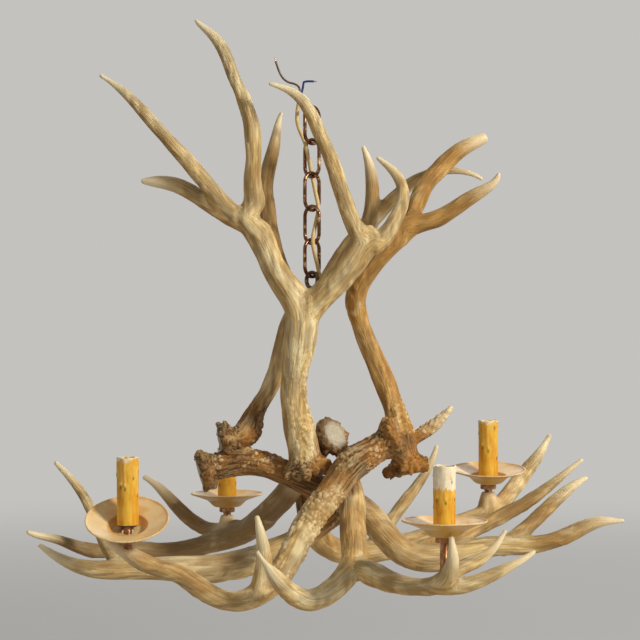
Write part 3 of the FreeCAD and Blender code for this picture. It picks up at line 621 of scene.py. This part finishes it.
def turned(outline, sides, shape=None):
    """Rings of points: an outline of (radius, height) turned about Z.

    shape(radius, angle, height), if given, returns the changed radius.
    """
    profile = np.array(outline, float)
    angle = np.linspace(0, 2 * math.pi, sides, endpoint=False)[None, :]
    radius, height = (np.repeat(profile[:, i : i + 1], sides, axis=1) for i in range(2))
    if shape is not None:
        radius = shape(radius, angle, height)
    return np.stack((radius * np.cos(angle), radius * np.sin(angle), height), axis=-1)


def store(piece, name, values):
    """Keeps one number per point on a piece's mesh for its material."""
    attribute = piece.data.attributes.new(name, "FLOAT", "POINT")
    attribute.data.foreach_set("value", np.asarray(values, np.float32).ravel())


# ---------------------------------------------------------------- metal


def metal(name, base, worn, roughness, wear=0.5, metallic=1.0):
    """A plated metal: base in general, worn where it is rubbed, dull in patches."""
    skin = Skin(name, Metallic=metallic)
    patches = skin.noise(7 * MM, 5)
    fine = skin.noise(0.9 * MM, 3)
    uneven = skin.math("ADD", patches, skin.product(fine, 0.35))
    rubbed = skin.ramp(uneven, 0.86 - 0.4 * wear, 0.98 - 0.3 * wear)
    colour = skin.blend(rubbed, base, worn)
    tarnish = skin.ramp(skin.noise(2.6 * MM, 5), 0.55, 0.75)
    dark = tuple(0.38 * c for c in base)
    colour = skin.blend(skin.product(tarnish, 0.6), colour, dark)
    rough = skin.math("ADD", roughness, skin.product(skin.math("SUBTRACT", patches, 0.5), 0.35))
    return skin.finish(colour, rough, (fine, 0.08 * MM), (patches, 0.15 * MM))


def repaint(node, paint):
    """Gives a carried-over CAD node its finish."""
    NODES[node].data.materials.clear()
    NODES[node].data.materials.append(paint)


# ---------------------------------------------------------------- candle lights

LIGHTS = {
    "front_left": {"lean": 27, "cream_top": 0.12, "seed": 3},
    "front_right": {"lean": 0, "cream_top": 1.0, "seed": 8},
    "back_left": {"lean": 0, "cream_top": 0.25, "seed": 5},
    "back_right": {"lean": 7, "cream_top": 0.1, "seed": 11},
}
COVER_RADIUS = 12.0
COVER_WALL = 1.4
COVER_LENGTH = 71.0
COVER_REST = 0.3
COVER_RINGS = 108
COVER_SIDES = 120
WAX_DEPTH = 0.75  # room for the wax within the cover's own radius
RUN_COUNT = 11
PAN_RADIUS = 43.5
PAN_DEPTH = 16.0
PAN_LIP = 8.0
PAN_FLOOR = 13.5
PAN_WELL = 21.5
PAN_WALL = 1.0
PAN_SIDES = 144
FIT = 0.15
WASHER_RADIUS = 9.0
WASHER_HEIGHT = 1.2
THREAD_RADIUS = 4.8
THREAD_DEPTH = 0.45
THREAD_PITCH = 1.0
NUT_ACROSS = 16.0
NUT_HEIGHT = 5.0
NUT_CHAMFER = 1.0
SHARP_EDGE = 28  # degrees


def light_place(light):
    """Where a light stands: its axis and the middle of its pan's floor, in millimetres."""
    low, high = (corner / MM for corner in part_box(f"candle_cover_{light}"))
    slope = math.tan(math.radians(LIGHTS[light]["lean"]))
    floor = low.z - COVER_RADIUS * slope - COVER_REST
    return np.array(((low.x + high.x) / 2, (low.y + high.y) / 2, floor))


def wax_skin(cream_top):
    """Amber wax: paler threads down its sides, a cream top, and under each drop a dark spot of dirt and
    painted shadow.
    """
    skin = Skin(f"wax_{round(cream_top * 100)}", Specular_IOR_Level=0.25, Subsurface_Weight=0.12)
    skin.feed(skin.shader, {"Subsurface Radius": (0.004, 0.0018, 0.0006)})
    height = skin.number("height")
    around = skin.vector("round")
    inputs = {"Vector": around, "W": skin.math("MULTIPLY", height, 1.2), "Scale": 3.0, "Detail": 5.0}
    threads = skin.add("TexNoise", inputs, noise_dimensions="4D")
    cloud = skin.noise(12 * MM, 4)
    colour = skin.blend(skin.ramp(threads, 0.35, 0.65), (0.70, 0.31, 0.018), (0.83, 0.50, 0.06))
    colour = skin.blend(skin.product(skin.ramp(cloud, 0.5, 0.75), 0.45), colour, (0.58, 0.23, 0.016))
    run = skin.number("run")
    colour = skin.blend(skin.product(run, 0.55), colour, (0.88, 0.62, 0.20))
    edge = skin.math("ADD", height, skin.product(skin.math("SUBTRACT", threads, 0.5), 0.35))
    top = skin.ramp(edge, 1.0 - 0.36 * cream_top, 1.04 - 0.36 * cream_top)
    mottle = skin.ramp(skin.noise(5 * MM, 4), 0.35, 0.6, 0.7, 1.0)
    colour = skin.blend(skin.product(top, mottle), colour, (0.85, 0.76, 0.56))
    rim = skin.ramp(height, 0.975, 0.99)
    colour = skin.blend(skin.product(rim, 0.8), colour, (0.86, 0.74, 0.48))
    # dirt and painted shadow: a dark spot just under each drop
    colour = skin.blend(skin.product(skin.number("dirt_and_drop_shadow"), 0.9), colour, (0.09, 0.035, 0.012))
    dust = skin.ramp(skin.noise(2 * MM, 5), 0.62, 0.75)
    colour = skin.blend(skin.product(dust, 0.35), colour, (0.36, 0.18, 0.05))
    rough = skin.ramp(cloud, 0.3, 0.7, 0.34, 0.52)
    return skin.finish(colour, rough, (threads, 0.25 * MM), (cloud, 0.3 * MM))


def wax_runs(dice):
    """The runs of one cover: every third ends high up, the rest near the middle."""
    runs = []
    for i in range(RUN_COUNT):
        run = {"angle": 2 * math.pi * (i + dice.uniform(-0.35, 0.35)) / RUN_COUNT}
        low, high = (0.34, 0.62) if i % 3 else (0.7, 0.9)
        run["end"] = COVER_LENGTH * dice.uniform(low, high)
        run["width"] = dice.uniform(1.3, 2.3)
        run["height"] = dice.uniform(0.45, 0.85)
        runs.append(run)
    return runs


def candle_cover(light):
    """A wax-coated tube: runs of wax down its outside, each ending in a drop."""
    facts = LIGHTS[light]
    runs = wax_runs(random.Random(facts["seed"]))
    heights = np.linspace(0.25, COVER_LENGTH - 1.0, COVER_RINGS)
    inner = COVER_RADIUS - COVER_WALL
    outside = [(COVER_RADIUS - WAX_DEPTH, h) for h in heights]
    lip = [
        (COVER_RADIUS - 0.95, COVER_LENGTH - 0.4),
        (COVER_RADIUS - 1.1, COVER_LENGTH - 0.2),
        (inner + 0.1, COVER_LENGTH - 0.5),
    ]
    inside = [(inner, COVER_LENGTH - 2.0), (inner, COVER_LENGTH - 12), (inner, 12.0), (inner, 1.0)]
    foot = [(inner + 0.2, 0.1), (COVER_RADIUS - 0.9, 0.05)]
    outline = outside + lip + inside + foot
    wax = np.zeros((len(outline), COVER_SIDES))
    dirt_and_drop_shadow = np.zeros_like(wax)
    angle = np.linspace(0, 2 * math.pi, COVER_SIDES, endpoint=False)[None, :]
    height = np.array([h for _, h in outline])[:, None]
    for run in runs:
        sway = run["angle"] + 0.05 * np.sin(height * 0.13 + run["angle"] * 5)
        across = (np.mod(angle - sway + math.pi, 2 * math.pi) - math.pi) * COVER_RADIUS
        above = smooth_step(height, run["end"] - 1.2, run["end"] + 1.2)
        body = np.exp(-((across / run["width"]) ** 2)) * above
        across_drop = across / (run["width"] * 0.8)
        drop = np.exp(-(across_drop**2) - ((height - run["end"] - 1.5) / 2.0) ** 2)
        wax = np.maximum(wax, run["height"] * (0.55 * body + 0.75 * drop))
        # where the drop's painted shadow and its dirt go, just under it
        under = np.exp(-((across / 1.1) ** 2) - ((height - run["end"] + 2.6) / 1.7) ** 2)
        dirt_and_drop_shadow = np.maximum(dirt_and_drop_shadow, under)
    wax[len(outside) + 1 :] = 0
    skirt = 0.35 * smooth_step(height, COVER_LENGTH * 0.78, COVER_LENGTH * 0.97)
    skirt = skirt * (0.7 + 0.3 * np.sin(angle * 7 + facts["seed"]))
    wax[: len(outside)] = np.maximum(wax, skirt)[: len(outside)]

    rings = turned(outline, COVER_SIDES, lambda radius, _, __: radius + wax)
    dips = 0.5 * np.sin(angle * 3 + facts["seed"]) + 0.3 * np.sin(angle * 8 + 2 * facts["seed"]) - 0.8
    rings[..., 2] += dips * smooth_step(height, COVER_LENGTH - 8, COVER_LENGTH - 0.5)
    floor = light_place(light)
    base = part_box(f"candle_cover_{light}")[0].z / MM
    place = np.array((floor[0], floor[1], base))
    piece = grid_object(f"wax_cover_{light}", (rings + place) * MM, True,
                        f"cover_{light}", f"candle_cover_{light}")
    outward = rings[..., :2] / COVER_RADIUS
    vectors = np.concatenate((outward, np.zeros_like(outward[..., :1])), axis=-1)
    attribute = piece.data.attributes.new("round", "FLOAT_VECTOR", "POINT")
    attribute.data.foreach_set("vector", vectors.astype(np.float32).ravel())
    store(piece, "height", np.repeat(height / COVER_LENGTH, COVER_SIDES, axis=1))
    store(piece, "run", np.clip(wax / 0.8, 0, 1))
    store(piece, "dirt_and_drop_shadow", dirt_and_drop_shadow)
    piece.data.materials.append(wax_skin(facts["cream_top"]))


def enamel_skin():
    """Aged cream enamel: golden brown where it faces down (painted shade with warm reflected light,
    partly age stain), rubbed at the rim, stained in the well.
    """
    skin = Skin("aged_cream_enamel", Specular_IOR_Level=0.5, Coat_Weight=0.15)
    cloud = skin.noise(22 * MM, 5)
    fine = skin.noise(2.2 * MM, 5)
    colour = skin.blend(skin.ramp(cloud, 0.4, 0.65), (0.83, 0.60, 0.29), (0.74, 0.45, 0.16))
    # painted shade with warm reflected light, partly age stain: golden brown on the faces that look down
    golden = skin.blend(cloud, (0.48, 0.23, 0.022), (0.64, 0.34, 0.04))
    under = skin.number("under")
    colour = skin.blend(skin.product(under, 0.9), colour, golden)
    inside = skin.product(skin.number("well"), skin.math("SUBTRACT", 1.0, under))
    stained = skin.product(inside, skin.ramp(cloud, 0.35, 0.7, 0.35, 0.9))
    colour = skin.blend(stained, colour, (0.66, 0.36, 0.10))
    spots = skin.ramp(fine, 0.64, 0.74)
    colour = skin.blend(skin.product(spots, 0.55), colour, (0.36, 0.24, 0.12))
    chipped = skin.product(skin.number("edge"), skin.ramp(fine, 0.5, 0.62))
    colour = skin.blend(skin.product(chipped, 0.35), colour, (0.22, 0.15, 0.09))
    rough = skin.ramp(cloud, 0.3, 0.7, 0.30, 0.48)
    return skin.finish(colour, rough, (cloud, 0.3 * MM), (fine, 0.06 * MM))


def drip_pan(light, paint):
    """A spun pan: rolled rim, broad flange, stepped well."""
    lean = math.radians(LIGHTS[light]["lean"])
    slope = math.tan(lean)
    hole = (THREAD_RADIUS + FIT + PAN_WALL * slope) / math.cos(lean)
    rim, well, floor, wall = PAN_RADIUS, PAN_WELL, PAN_FLOOR, PAN_WALL
    outline = [
        (hole, -PAN_DEPTH), (floor - 1, -PAN_DEPTH), (floor + 2.5, -PAN_DEPTH + 1.2),
        (well - 1.6, -PAN_LIP - 2.4), (well - 0.8, -PAN_LIP - 0.3), (well + 1.2, -PAN_LIP + 0.45),
        (well + 9, -PAN_LIP + 3.0), (rim - 3 * wall, -1.6 * wall),
        (rim - 2 * wall, -0.5 * wall), (rim - wall, 0), (rim, -0.5 * wall), (rim, -1.5 * wall),
        (rim - wall, -2.3 * wall), (rim - 3 * wall, -2.7 * wall), (well + 9, -PAN_LIP + 1.7),
        (well + 1.6, -PAN_LIP - 1.0), (floor + 3.4, -PAN_DEPTH + 0.2), (floor, -PAN_DEPTH - wall),
        (hole, -PAN_DEPTH - wall),
    ]
    rings = turned(rounded(outline, 3), PAN_SIDES)
    flat = rings.reshape(-1, 3)
    dents = np.array([noise.noise(Vector(p) / 16 + Vector((len(light), 0, 0))) for p in flat])
    flat[:, 2] += 0.35 * dents * smooth_step(np.hypot(flat[:, 0], flat[:, 1]), well, rim)
    local = rings.copy()
    turn = np.array(Matrix.Rotation(lean, 3, "X"))
    rings = (rings + (0, 0, PAN_DEPTH)) @ turn.T + light_place(light)
    piece = grid_object(f"drip_pan_{light}", rings * MM, True, "fixture", f"pan_{light}")
    away = np.hypot(local[..., 0], local[..., 1])
    normals = read(piece.data.vertex_normals, "vector", 3) @ turn
    # faces that look down, for the painted golden shade with its warm reflected light
    store(piece, "under", smooth_step(-normals[:, 2], 0.1, 0.6))
    store(piece, "well", 1 - smooth_step(away, well - 1, well + 1.5))
    store(piece, "edge", smooth_step(away, rim - 1.4, rim - 0.4))
    piece.data.materials.append(paint)


def threaded_tube(light, paint):
    """The copper-plated tube with its screw thread."""
    low, high = (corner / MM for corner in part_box(f"threaded_tube_{light}"))
    heights = np.arange(0, high.z - low.z, THREAD_PITCH / 5)
    outside = [(THREAD_RADIUS, h) for h in heights]
    outline = outside + [(THREAD_RADIUS - 1.2, heights[-1]), (THREAD_RADIUS - 1.2, 0.0)]
    crest = np.arange(len(outline))[:, None] < len(outside)

    def thread(radius, angle, height):
        phase = np.mod(height / THREAD_PITCH + angle / (2 * math.pi), 1)
        return radius - crest * THREAD_DEPTH * (1 - np.abs(2 * phase - 1))

    rings = turned(outline, 48, thread)
    place = np.array(((low.x + high.x) / 2, (low.y + high.y) / 2, low.z))
    piece = grid_object(f"screw_tube_{light}", (rings + place) * MM, True,
                        "fixture", f"threaded_tube_{light}")
    piece.data.materials.append(paint)


def pan_nut(light, paint):
    """A hexagon nut with turned-off corners, under the pan."""
    floor = light_place(light)
    lean = math.radians(LIGHTS[light]["lean"])
    drop = WASHER_RADIUS * math.tan(lean) + PAN_WALL / math.cos(lean)
    top = floor[2] - drop - WASHER_HEIGHT
    height = NUT_HEIGHT
    levels = [0, 0.25, 0.5, 1.0, height / 2, height - 1.0, height - 0.5, height - 0.25, height]
    outline = [(NUT_ACROSS, h) for h in levels]
    outline += [(THREAD_RADIUS + 0.75, height), (THREAD_RADIUS + FIT, height - 0.5),
                (THREAD_RADIUS + FIT, 0.5), (THREAD_RADIUS + 0.75, 0)]
    outer = np.arange(len(outline))[:, None] < len(levels)

    def hexagon(radius, angle, level):
        turn = np.mod(angle, math.pi / 3) - math.pi / 6
        flats = NUT_ACROSS / 2 / np.cos(turn)
        end = np.minimum(level, height - level)
        corner = NUT_ACROSS / 2 + (end + 0.1) * 1.6 / NUT_CHAMFER
        return np.where(outer, np.minimum(flats, corner), radius)

    rings = turned(outline, 96, hexagon)
    place = np.array((floor[0], floor[1], top - height))
    piece = grid_object(f"hex_nut_{light}", (rings + place) * MM, True,
                        "fixture", "pan_nuts")
    piece.data.materials.append(paint)
    edges = piece.modifiers.new("edges", "EDGE_SPLIT")
    edges.split_angle = math.radians(SHARP_EDGE)


# ---------------------------------------------------------------- cords

# The routes of part.py, in millimetres
CHAIN_PITCH = 36.6
WEAVE_TOP = -36.8
SIDE = 7.75
OUTER = 8.45
THROUGH = 3.677
LOW = 3.971
WEAVE = [(-SIDE, 0), (-THROUGH, THROUGH), (0, SIDE), (THROUGH, THROUGH), (SIDE, 0),
         (THROUGH, -THROUGH), (0, -OUTER), (LOW, -LOW), (OUTER, 0)]
CORD_TOP = [(-13, 6, 14), (-16, 8, 1), (-17, 7, -13), (-13, 3, -26)]
CORD_FOOT = [(9, 3, -194.75), (12, 10, -218.75)]
CORD_ROUTE = (
    CORD_TOP
    + [(x, y, WEAVE_TOP - i * CHAIN_PITCH / 2) for i, (x, y) in enumerate(WEAVE)]
    + CORD_FOOT
)
CORD_RADIUS = 2.2
CORD_SIDES = 28
BRAID_PITCH = 7.0
BRAID_STRANDS = 7
BRAID_DEPTH = 0.16
CHAIN_BODIES = ["top_link", "second_link", "third_link", "fourth_link", "fifth_link", "fixture"]
BROWN_ROUTE = [(-13.8, 5, 14), (-12.6, 4.2, 21), (-17, 4, 27), (-28, 3, 29), (-36, 2, 38), (-40, 1, 52)]
BLUE_ROUTE = [(-12.2, 7, 14), (-10.8, 6.6, 20), (-9.5, 1, 26), (-9, -8, 29), (2, -15, 27.5)]
CONDUCTOR_RADIUS = 1.2
BARE_LENGTH = 4.2
STRANDS = 5
STRAND_SIDES = 40


def route_curve(name, route, bevel=0.0):
    """A smooth curve over a route's points."""
    data = bpy.data.curves.new(name, "CURVE")
    data.dimensions = "3D"
    data.resolution_u = 24
    data.bevel_depth = bevel * MM
    data.bevel_resolution = 6
    data.use_fill_caps = True
    spline = data.splines.new("NURBS")
    spline.points.add(len(route) - 1)
    for point, spot in zip(spline.points, route):
        point.co = (*(c * MM for c in spot), 1)
    spline.order_u = 3
    spline.use_endpoint_u = True
    curve = bpy.data.objects.new(name, data)
    bpy.context.scene.collection.objects.link(curve)
    return curve


def line_of(curve):
    """The points that a curve with no bevel runs through, in millimetres."""
    graph = bpy.context.evaluated_depsgraph_get()
    mesh = bpy.data.meshes.new_from_object(curve.evaluated_get(graph))
    return read(mesh.vertices, "co", 3).astype(float) / MM


def even_line(line, step):
    """The same line with points at one spacing, and the way to each."""
    ways = np.concatenate(([0], np.cumsum(np.linalg.norm(np.diff(line, axis=0), axis=1))))
    places = np.linspace(0, ways[-1], max(2, round(ways[-1] / step)))
    return np.stack([np.interp(places, ways, line[:, i]) for i in range(3)], axis=1), places


def tube_rings(line, radius, sides):
    """Rings square to a line, turning with it as little as they can; radius may vary."""
    ahead = unit(np.gradient(line, axis=0))
    side = unit(np.cross(ahead[0], (0.3, 1, 0.2)))
    angle = np.linspace(0, 2 * math.pi, sides, endpoint=False)[:, None]
    rings = []
    for point, forward, around in zip(line, ahead, radius):
        side = unit(side - forward * (side @ forward))
        across = np.cross(forward, side)
        rings.append(point + around[:, None] * (np.cos(angle) * side + np.sin(angle) * across))
    return np.array(rings)


def braid_skin():
    """Pale gold braid: threads that cross, darker in the gaps between them as painted shade, a little
    soiled.
    """
    skin = Skin("gold_braid", Sheen_Weight=0.25, Specular_IOR_Level=0.4)
    weave = skin.number("weave")
    cloud = skin.noise(9 * MM, 4)
    fibre = skin.noise(0.5 * MM, 3)
    # painted shade: dark brown where the strands dip between crossings, pale gold on their crests
    colour = skin.blend(weave, (0.40, 0.25, 0.08), (0.82, 0.63, 0.29))
    colour = skin.blend(skin.product(skin.ramp(cloud, 0.5, 0.75), 0.5), colour, (0.45, 0.33, 0.16))
    rough = skin.ramp(fibre, 0.3, 0.7, 0.45, 0.65)
    return skin.finish(colour, rough, (fibre, 0.12 * MM))


def braided_cord():
    """The supply cord in one length per chain link; the first hangs from the top link."""
    route = route_curve("cord_route", CORD_ROUTE)
    line, ways = even_line(line_of(route), 0.45)
    bpy.data.objects.remove(route)
    angle = np.linspace(0, 2 * math.pi, CORD_SIDES, endpoint=False)[None, :]
    turn = ways[:, None] / BRAID_PITCH * math.pi
    one = np.sin(BRAID_STRANDS * (angle + turn))
    other = np.sin(BRAID_STRANDS * (angle - turn))
    weave = np.maximum(one, other)
    radius = CORD_RADIUS - BRAID_DEPTH * (1 - weave) * 0.5
    rings = tube_rings(line, radius, CORD_SIDES)
    middles = [WEAVE_TOP / 2 - 0.1 - i * CHAIN_PITCH for i in range(5)]
    cuts = [0] + [int(np.abs(line[:, 2] - z).argmin()) for z in middles] + [len(line) - 1]
    paint = braid_skin()
    for i, (start, end) in enumerate(zip(cuts, cuts[1:])):
        part = slice(start, end + 1)
        above = CHAIN_BODIES[max(i - 1, 0)]
        body = above if i == 0 else None
        piece = grid_object(f"braided_cord_{i + 1}", rings[part] * MM, False,
                            body, "supply_cord")
        # strand height, which also places the painted shade in the gaps of the braid
        store(piece, "weave", weave[part] * 0.5 + 0.5)
        piece.data.materials.append(paint)
        if i:
            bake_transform(piece)


def wire_skin(name, base, light):
    """Thin plastic insulation, scuffed."""
    skin = Skin(name, Specular_IOR_Level=0.5)
    cloud = skin.noise(5 * MM, 4)
    fine = skin.noise(0.7 * MM, 3)
    colour = skin.blend(skin.ramp(cloud, 0.45, 0.7), base, light)
    rough = skin.ramp(fine, 0.3, 0.7, 0.32, 0.5)
    return skin.finish(colour, rough, (fine, 0.05 * MM))


def conductor(name, route, base, light):
    """One bare-ended conductor of the stripped cord, with its copper strands showing."""
    line = line_of(route_curve(f"{name}_line", route))
    bpy.data.objects.remove(bpy.data.objects[f"{name}_line"])
    wire = route_curve(f"{name}_wire", route, CONDUCTOR_RADIUS)
    wire.data.materials.append(wire_skin(f"{name}_insulation", base, light))
    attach(wire, "top_link")
    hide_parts(f"{name}_conductor")
    ahead = unit(line[-1] - line[-3])
    steps = np.linspace(-1.0, BARE_LENGTH, 14)[:, None]
    core = line[-1] + ahead * steps
    angle = np.linspace(0, 2 * math.pi, STRAND_SIDES, endpoint=False)[None, :]
    lobes = np.abs(np.sin(STRANDS / 2 * (angle + steps * 0.55)))
    radius = (0.45 + 0.3 * lobes) * rounded_end(steps, BARE_LENGTH)
    copper = grid_object(f"{name}_strands", tube_rings(core, radius, STRAND_SIDES) * MM,
                         False, "top_link", None)
    copper.data.materials.append(PAINTS["strand"])


def rounded_end(steps, end):
    """1 along a strand, and down to a small tip at its end."""
    return 1 - 0.7 * smooth_step(steps, end - 1.0, end)


# ---------------------------------------------------------------- the whole object

PAINTS = {
    "copper": metal("antique_copper", (0.17, 0.075, 0.035), (0.78, 0.50, 0.27), 0.27, 0.42),
    "bronze": metal("dark_bronze", (0.12, 0.075, 0.045), (0.42, 0.29, 0.16), 0.38, 0.35),
    "tube": metal("copper_plate", (0.36, 0.17, 0.075), (0.70, 0.42, 0.22), 0.34, 0.5),
    "brass": metal("dull_brass", (0.60, 0.43, 0.17), (0.80, 0.64, 0.34), 0.32, 0.4),
    "steel": metal("plain_steel", (0.36, 0.35, 0.34), (0.60, 0.59, 0.57), 0.35, 0.5),
    "strand": metal("bare_copper", (0.72, 0.42, 0.26), (0.92, 0.72, 0.55), 0.25, 0.5),
    "phenolic": metal("moulded_phenolic", (0.035, 0.026, 0.02), (0.09, 0.07, 0.055), 0.42, 0.4, 0.0),
    "lead": metal("lead_insulation", (0.03, 0.03, 0.03), (0.07, 0.07, 0.07), 0.45, 0.3, 0.0),
}


def build():
    """Every piece of the chandelier."""
    for name, facts in ANTLERS.items():
        antler_look(name, facts)
    for number in range(1, 6):
        repaint(f"link_{number}", PAINTS["copper"])
    repaint("screw_eye", PAINTS["bronze"])
    enamel = enamel_skin()
    for light in LIGHTS:
        candle_cover(light)
        drip_pan(light, enamel)
        threaded_tube(light, PAINTS["tube"])
        pan_nut(light, PAINTS["tube"])
        repaint(f"socket_{light}", PAINTS["phenolic"])
        repaint(f"screw_shell_{light}", PAINTS["brass"])
    repaint("centre_contacts", PAINTS["brass"])
    repaint("pan_washers", PAINTS["tube"])
    repaint("socket_leads", PAINTS["lead"])
    repaint("antler_pins", PAINTS["steel"])
    braided_cord()
    conductor("brown", BROWN_ROUTE, (0.10, 0.045, 0.02), (0.22, 0.12, 0.06))
    conductor("blue", BLUE_ROUTE, (0.012, 0.05, 0.30), (0.03, 0.11, 0.45))


add_studio()
build()
